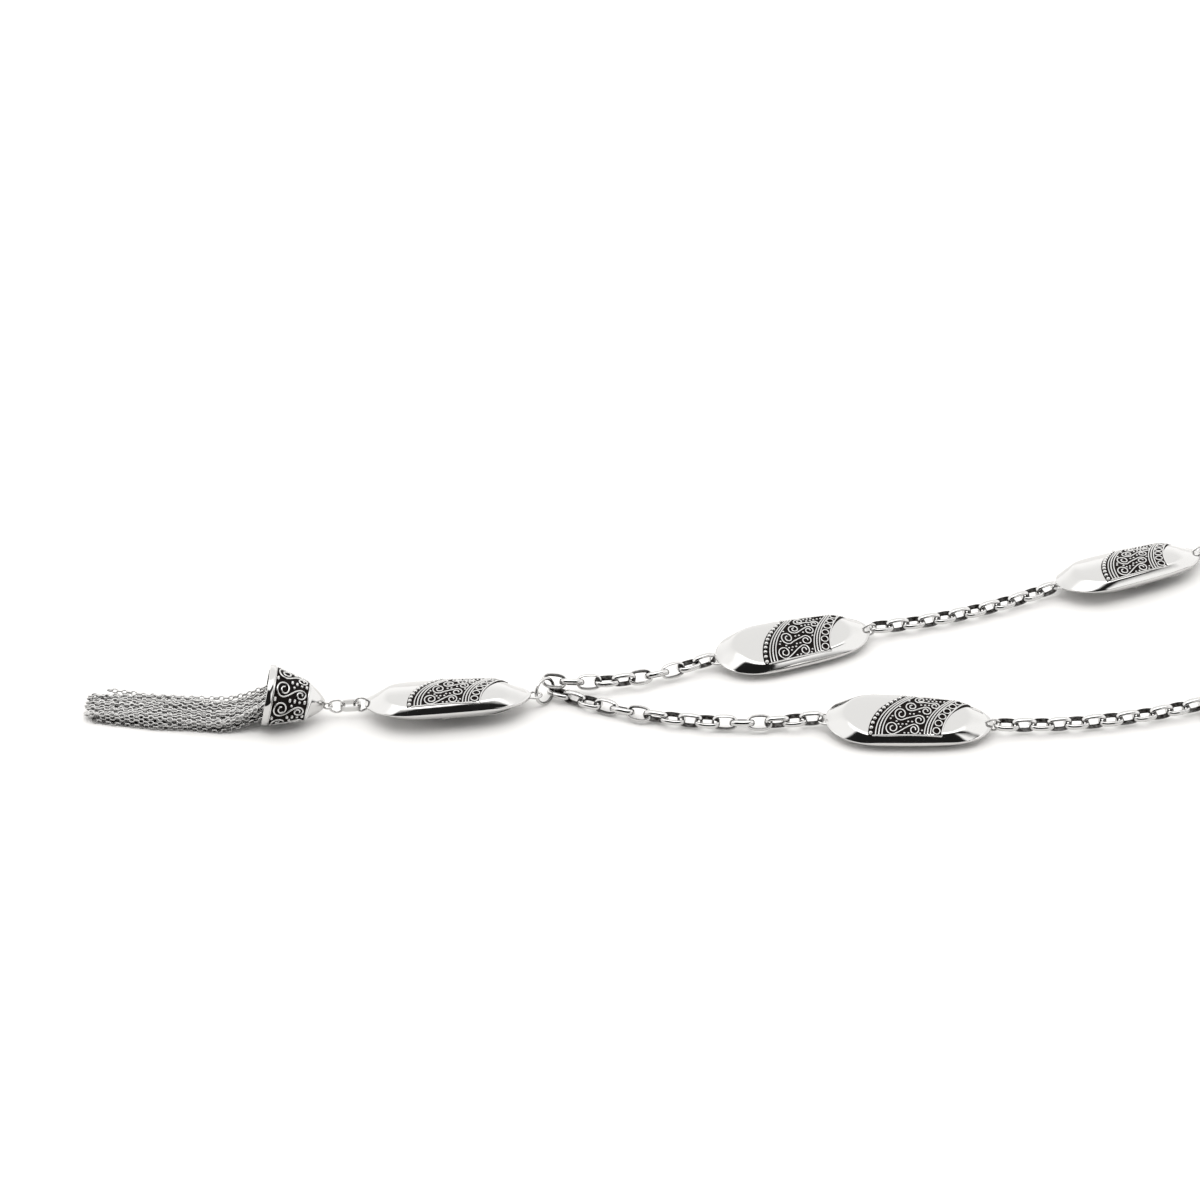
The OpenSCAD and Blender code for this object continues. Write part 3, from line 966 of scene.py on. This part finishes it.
def fine_link():
    """Points and faces of a fine link, long side on x, and how far out each point lies."""
    turn = np.linspace(-math.pi / 2, math.pi / 2, 6)
    r = (FINE_W - FINE_WIRE) / 2
    right = np.stack([(FINE_L - FINE_W) / 2 + r * np.cos(turn), r * np.sin(turn)], axis=1)
    path = np.vstack([right, -right])
    path = np.column_stack([path, np.zeros(len(path))])
    section = round_section(FINE_WIRE, 5)
    points, faces = sweep(path, UP, section, closed=True)
    return points, faces, np.tile(section[:, 0] / (FINE_WIRE / 2), len(path))


def tassel_shape(mouth):
    """Fine chains whose links are each turned a quarter from the last."""
    rng = np.random.default_rng(7)
    shape = Shape()
    link, faces, outward = fine_link()
    for k in range(STRANDS):
        s, y, high, rest, drop = tassel_path(k, rng)
        z = (mouth[2] + high) * (1 - drop) + rest * drop
        line = even_path(np.stack([mouth[0] - s, mouth[1] + y, z], axis=1), FINE_PITCH)
        tangent = unit(np.gradient(line, axis=0))
        # Painted shade: lower layers and the links' inner sides darker.
        wear_and_painted_shade = np.clip(LAYER_SHINE[k % LAYERS] + LAYER_SWING * outward, 0, 1)
        for i, (spot, ahead) in enumerate(zip(line, tangent)):
            side = unit(np.cross(ahead, UP))
            up = np.cross(side, ahead)
            a = FINE_TURN + math.pi / 2 * i + FINE_SWAY * math.sin(i * FINE_SWAY_STEP + k)
            across = math.cos(a) * side + math.sin(a) * up
            axes = np.stack([ahead, across, np.cross(ahead, across)])
            placed = link @ axes + spot
            placed[:, 2] += max(0, FLOOR_GAP - placed[:, 2].min())
            shape.add(placed, faces, WIRED, wear_and_painted_shade)
    return shape


def ring_shape(node):
    """The round ring on its solid's middle and plane, inner side darkened as patina and painted
    shade.
    """
    points = node_points(node)
    middle = (points.max(0) + points.min(0)) / 2
    _, axes = np.linalg.eigh(np.cov((points - middle).T))
    across = axes[:, 0]
    first = unit(np.cross(across, UP))
    second = np.cross(across, first)
    path = ring_path(RING_R, 56)
    section = round_section(RING_WIRE, 18)
    points, faces = sweep(path, UP, section, closed=True)
    shine = np.clip(RING_SHINE + RING_SHINE_SWING * section[:, 0] / (RING_WIRE / 2), 0, 1)
    shape = Shape()
    turned = points @ np.stack([first, second, np.cross(first, second)])
    shape.add(turned + middle, faces, WIRED, np.tile(shine, len(path)))
    return shape


# Materials


def new_material(name):
    """A material, its nodes and links, its shader, and where a point of the object lies."""
    material = bpy.data.materials.new(name)
    material.use_nodes = True
    nodes = material.node_tree.nodes
    where = nodes.new("ShaderNodeTexCoord").outputs["Object"]
    return material, nodes, material.node_tree.links, nodes["Principled BSDF"], where


def noise(nodes, links, scale, detail, coordinate):
    texture = nodes.new("ShaderNodeTexNoise")
    texture.inputs["Scale"].default_value = scale
    texture.inputs["Detail"].default_value = detail
    links.new(coordinate, texture.inputs["Vector"])
    return texture.outputs["Fac"]


def ramp(nodes, links, value, span, out=(0, 1)):
    """The value, where it goes through the span, made to go from out[0] to out[1]."""
    made = nodes.new("ShaderNodeMapRange")
    for socket, number in zip(("From Min", "From Max", "To Min", "To Max"), (*span, *out)):
        made.inputs[socket].default_value = number
    links.new(value, made.inputs["Value"])
    return made.outputs["Result"]


def bump(nodes, links, height, strength, distance, target):
    made = nodes.new("ShaderNodeBump")
    made.inputs["Strength"].default_value = strength
    made.inputs["Distance"].default_value = distance
    links.new(height, made.inputs["Height"])
    links.new(made.outputs["Normal"], target.inputs["Normal"])


def math_node(nodes, links, operation, *values):
    """Result of a Math node whose inputs are outputs of other nodes or numbers."""
    made = nodes.new("ShaderNodeMath")
    made.operation = operation
    for socket, value in zip(made.inputs, values):
        if isinstance(value, bpy.types.NodeSocket):
            links.new(value, socket)
        else:
            socket.default_value = value
    return made.outputs["Value"]


def two_tones(nodes, links, share, low, high):
    """Colour that goes from low to high, each a position and a colour."""
    shade = nodes.new("ShaderNodeValToRGB")
    for element, (position, colour) in zip(shade.color_ramp.elements, (low, high)):
        element.position = position
        element.color = colour
    links.new(share, shade.inputs["Fac"])
    return shade.outputs["Color"]


def polished_silver():
    material, nodes, links, shader, where = new_material("polished_silver")
    shader.inputs["Metallic"].default_value = 1.0
    shader.inputs["Base Color"].default_value = SILVER
    cloudy = noise(nodes, links, 260, 3, where)
    links.new(ramp(nodes, links, cloudy, (0.3, 0.7), (0.05, 0.1)), shader.inputs["Roughness"])
    bump(nodes, links, noise(nodes, links, 520, 2, where), 0.06, 0.0002, shader)
    return material


def blackened_silver():
    material, nodes, links, shader, where = new_material("blackened_silver")
    shader.inputs["Specular IOR Level"].default_value = 0.04
    grain = noise(nodes, links, 2600, 4, where)
    shade = two_tones(nodes, links, grain, (0, BLACK_DEEP), (1, BLACK_WORN))
    links.new(shade, shader.inputs["Base Color"])
    links.new(ramp(nodes, links, grain, (0.3, 0.7), (0.42, 0.6)), shader.inputs["Roughness"])
    bump(nodes, links, grain, 0.5, 0.0001, shader)
    return material


def wire_silver():
    """Bright where the shine is 1 and black where it is 0."""
    material, nodes, links, shader, where = new_material("wire_silver")
    # The shine sets patina at the wires' feet, and painted shade on the links, the ring and the
    # tassel.
    shine = nodes.new("ShaderNodeAttribute")
    shine.attribute_name = "shine"
    mottled = noise(nodes, links, 1500, 3, where)
    wear_and_painted_shade = math_node(nodes, links, "MULTIPLY_ADD", mottled, 0.3, -0.15)
    total = math_node(nodes, links, "ADD", shine.outputs["Fac"], wear_and_painted_shade)
    total.node.use_clamp = True
    shade = two_tones(nodes, links, total, (0.18, TARNISH_AND_PAINTED_SHADE), (0.62, SILVER))
    links.new(shade, shader.inputs["Base Color"])
    shader.inputs["Metallic"].default_value = 1.0
    links.new(ramp(nodes, links, total, (0.1, 0.8), (0.42, 0.13)), shader.inputs["Roughness"])
    bump(nodes, links, mottled, 0.1, 0.0001, shader)
    return material


def surface_white():
    material, nodes, links, shader, where = new_material("pale_surface")
    shader.inputs["Base Color"].default_value = PALE
    cloudy = noise(nodes, links, 40, 3, where)
    links.new(ramp(nodes, links, cloudy, (0.3, 0.7), (0.6, 0.7)), shader.inputs["Roughness"])
    shader.inputs["Specular IOR Level"].default_value = 0.2
    return material


FINISHES = [polished_silver(), blackened_silver(), wire_silver()]


def put(name, mesh, pose, slot, *nodes):
    """Adds a piece, its pose carried into the mesh so that its box is its own."""
    place = Matrix.Translation(pose.translation * MM) @ Matrix(pose).to_3x3().to_4x4()
    mesh.transform(place)
    piece = bpy.data.objects.new(name, mesh)
    bpy.context.scene.collection.objects.link(piece)
    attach(piece, "root")
    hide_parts(*nodes)


# Necklace

labels = [f"{side}_{k}" for side in ("near", "far") for k in range(1, 6)]
loop_bead = bead_shape(False, True).mesh("loop_bead", FINISHES)
for label in labels:
    node = f"bead_{label}"
    put(f"silver_bead_{label}", loop_bead.copy(), bead_fit(node), "silver", node)
bpy.data.meshes.remove(loop_bead)

pendant = bead_shape(True, False, PENDANT_EYE_X).mesh("pendant", FINISHES)
put("silver_pendant", pendant, bead_fit("pendant_bead"), "silver", "pendant_bead")

for label in labels + ["back"]:
    node = f"chain_{label}"
    chain = chain_shape(node).mesh(node, FINISHES)
    put(f"belcher_{label}", chain, Matrix(), "silver", node)

level = bead_pose("pendant_bead")
tail_x = -(PENDANT_L / 2 + LINK_GAP + TAIL_L / 2)
cap_ring_r = (CAP_RING_D - CAP_RING_WIRE) / 2
cap_ring_x = tail_x - TAIL_L / 2 + BAND_T + TAIL_PLAY + CAP_RING_WIRE / 2 - cap_ring_r
loop_x = cap_ring_x - cap_ring_r + CAP_RING_WIRE / 2 + LINK_GAP + LOOP_WIRE / 2 - LOOP_R
cap_tip = level @ Vector((loop_x - CAP_BACK, 0, CAP_UP))
cap_pose = Matrix.Translation(cap_tip) @ Matrix.Rotation(-math.pi / 2 + CAP_FALL, 4, "Y")
cap = cap_shape()
loop_path = ring_path(LOOP_R, 24)
loop, loop_faces = sweep(loop_path, UP, round_section(LOOP_WIRE, 10), closed=True)
to_cap = cap_pose.inverted() @ level @ Matrix.Translation((loop_x, 0, LOOP_UP))
loop = np.array([to_cap @ Vector(p) for p in loop])
cap.add(loop, loop_faces, WIRED)
put("scroll_cap", cap.mesh("scroll_cap", FINISHES), cap_pose, "silver", "tassel_cap")

mouth = np.array(cap_pose @ Vector((0, 0, CAP_L)))
chains = tassel_shape(mouth).mesh("chain_tassel", FINISHES)
put("chain_tassel", chains, Matrix(), "tassel_silver", "tassel")

ring = ring_shape("main_ring").mesh("round_ring", FINISHES)
put("round_ring", ring, Matrix(), "silver", "main_ring")

for node in ("cap_ring", "tail_link"):
    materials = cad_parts[node].data.materials
    materials.clear()
    materials.append(FINISHES[POLISHED])


# Surface, light and camera

bpy.ops.mesh.primitive_circle_add(vertices=96, radius=FLOOR_R, fill_type="NGON")
floor = bpy.context.object
floor.name = "surface"
floor.data.materials.append(surface_white())


def blend_level(nodes, links, share, base, level):
    """Light level that goes from base to level as the share goes from 0 to 1."""
    mix = nodes.new("ShaderNodeMix")
    links.new(share, mix.inputs["Factor"])
    links.new(base, mix.inputs["A"])
    mix.inputs["B"].default_value = level
    return mix.outputs["Result"]


def facing(nodes, links, where, direction):
    """Cosine of the angle between where a ray goes and a direction."""
    made = nodes.new("ShaderNodeVectorMath")
    made.operation = "DOT_PRODUCT"
    made.inputs[1].default_value = direction
    links.new(where, made.inputs[0])
    return made.outputs["Value"]


def times(nodes, links, a, b):
    return math_node(nodes, links, "MULTIPLY", a, b)


def flipped(nodes, links, share):
    """One less the share."""
    return ramp(nodes, links, share, (0, 1), (1, 0))


def dark_side(nodes, links, where, parts):
    """Share of darkness: the front of the room below its top.

    It is open to the left and in a low window on the right, but for a strip at the horizon.
    """
    front = ramp(nodes, links, parts.outputs["Y"], FRONT_FADE)
    below = ramp(nodes, links, parts.outputs["Z"], ROOF_FADE, (1, 0))
    direction = (math.cos(WINDOW_TURN), math.sin(WINDOW_TURN), 0)
    right = ramp(nodes, links, facing(nodes, links, where, direction), WINDOW_FADE)
    low = ramp(nodes, links, parts.outputs["Z"], WINDOW_TOP_FADE, (1, 0))
    closed = flipped(nodes, links, times(nodes, links, right, low))
    direction = (-math.cos(LEFT_TURN), math.sin(LEFT_TURN), 0)
    not_left = ramp(nodes, links, facing(nodes, links, where, direction), LEFT_FADE, (1, 0))
    raised = ramp(nodes, links, parts.outputs["Z"], SILL_FADE)
    opened = flipped(nodes, links, times(nodes, links, closed, not_left))
    shut = flipped(nodes, links, times(nodes, links, opened, raised))
    return times(nodes, links, times(nodes, links, front, below), shut)


def studio():
    """Tent of light: bright at the top, softer in a patch behind, dark at the front."""
    world = bpy.data.worlds.new("studio")
    bpy.context.scene.world = world
    world.use_nodes = True
    nodes, links = world.node_tree.nodes, world.node_tree.links
    where = nodes.new("ShaderNodeTexCoord").outputs["Generated"]
    parts = nodes.new("ShaderNodeSeparateXYZ")
    links.new(where, parts.inputs["Vector"])
    level = ramp(nodes, links, parts.outputs["Z"], TOP_FADE, (SIDE_LIGHT, TOP_LIGHT))
    direction = (0, math.cos(PATCH_UP), math.sin(PATCH_UP))
    patch = ramp(nodes, links, facing(nodes, links, where, direction), PATCH_FADE)
    level = blend_level(nodes, links, patch, level, PATCH_LIGHT)
    level = blend_level(nodes, links, dark_side(nodes, links, where, parts), level, DARK_LIGHT)
    background = nodes["Background"]
    background.inputs["Color"].default_value = LIGHT_COLOUR
    links.new(level, background.inputs["Strength"])


studio()

camera_data = bpy.data.cameras.new("camera")
camera_data.sensor_width = CAMERA_SENSOR
camera_data.lens = CAMERA_LENS
camera_data.clip_start = 0.01
camera = bpy.data.objects.new("camera", camera_data)
bpy.context.scene.collection.objects.link(camera)
back = Vector((0, -math.cos(CAMERA_TILT), math.sin(CAMERA_TILT)))
camera.location = AIM + back * CAMERA_DISTANCE
camera.rotation_euler = (math.pi / 2 - CAMERA_TILT, 0, 0)
bpy.context.scene.camera = camera
bpy.context.scene.view_settings.view_transform = "Standard"
